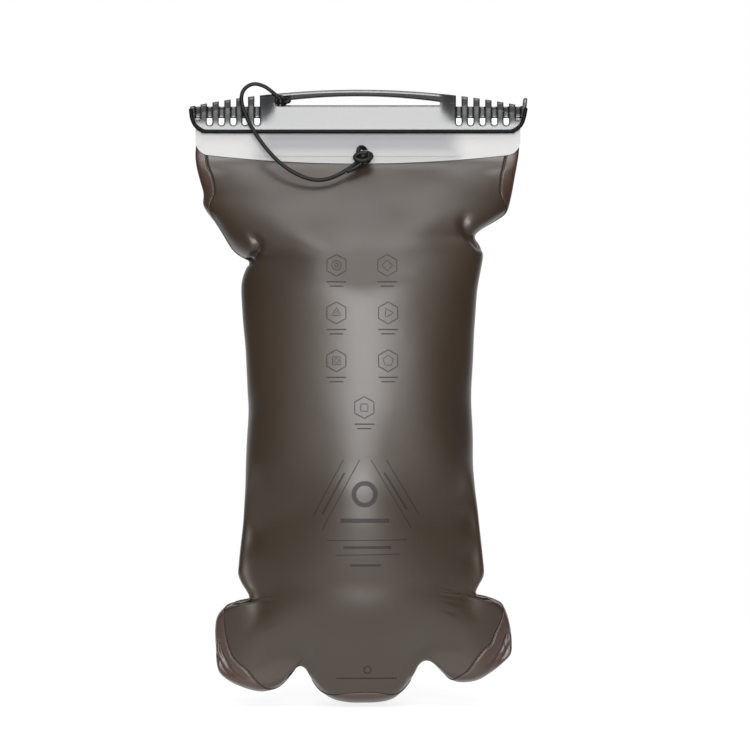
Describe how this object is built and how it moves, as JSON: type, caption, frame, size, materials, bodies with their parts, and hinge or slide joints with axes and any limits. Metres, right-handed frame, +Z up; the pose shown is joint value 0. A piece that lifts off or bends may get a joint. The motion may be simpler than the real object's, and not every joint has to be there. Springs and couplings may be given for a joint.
{
  "type": "hydration bladder",
  "caption": "Soft gusseted film water reservoir with a slide-off top closure and hang handle, a tether cord and a quick-release hose port on the back.",
  "frame": {"origin": "middle of the hang slot under the closure's handle bar, half-way through the bar", "axes": "+Z up, +X along the closure in the direction that it slides off, -Y out of the front panel"},
  "size_m": [0.1897, 0.0804, 0.3493],
  "materials": {
    "body_film": "translucent smoke polyurethane film, glossy, slightly rippled",
    "gusset_film": "tinted translucent polyurethane film, glossy",
    "header_plastic": "frosted natural plastic",
    "rail_plastic": "moulded white plastic",
    "closure_plastic": "satin dark grey moulded plastic",
    "tether_cord": "braided black cord",
    "port_flange": "moulded translucent polyurethane",
    "port_plastic": "satin dark grey moulded plastic",
    "seal_rubber": "smooth silicone rubber",
    "valve_plastic": "moulded natural plastic",
    "spring_steel": "drawn stainless wire",
    "button_plastic": "moulded mid grey plastic"
  },
  "bodies": {
    "reservoir": {"front_film_panel": "body_film", "back_film_panel": "body_film", "gusset_film": "gusset_film", "front_header_plate": "header_plastic", "back_header_plate": "header_plastic", "front_rail": "rail_plastic", "back_rail": "rail_plastic", "tether_cord": "tether_cord", "tether_header_knot": "tether_cord", "port_flange": "port_flange", "port_body": "port_plastic", "port_nut": "port_plastic", "port_gasket": "seal_rubber", "port_seal": "seal_rubber", "valve_spring": "spring_steel", "valve_cage": "valve_plastic", "button_spring": "spring_steel"},
    "closure": {"slide_closure": "closure_plastic", "tether_closure_knot": "tether_cord"},
    "poppet": {"valve_poppet": "valve_plastic"},
    "button": {"release_button": "button_plastic"}
  },
  "joints": [
    {"name": "closure_slide", "type": "slide", "parent": "reservoir", "child": "closure", "axis": [1, 0, 0], "range_m": [0, 0.19], "deforming": ["tether_cord"]},
    {"name": "poppet_slide", "type": "slide", "parent": "reservoir", "child": "poppet", "axis": [0, -1, 0], "range_m": [0, 0.003], "stiffness_N_per_m": 150, "springref_m": -0.005, "deforming": ["valve_spring"]},
    {"name": "button_press", "type": "slide", "parent": "reservoir", "child": "button", "axis": [0, 0, -1], "range_m": [0, 0.0015], "stiffness_N_per_m": 400, "springref_m": -0.002, "deforming": ["button_spring"]}
  ]
}
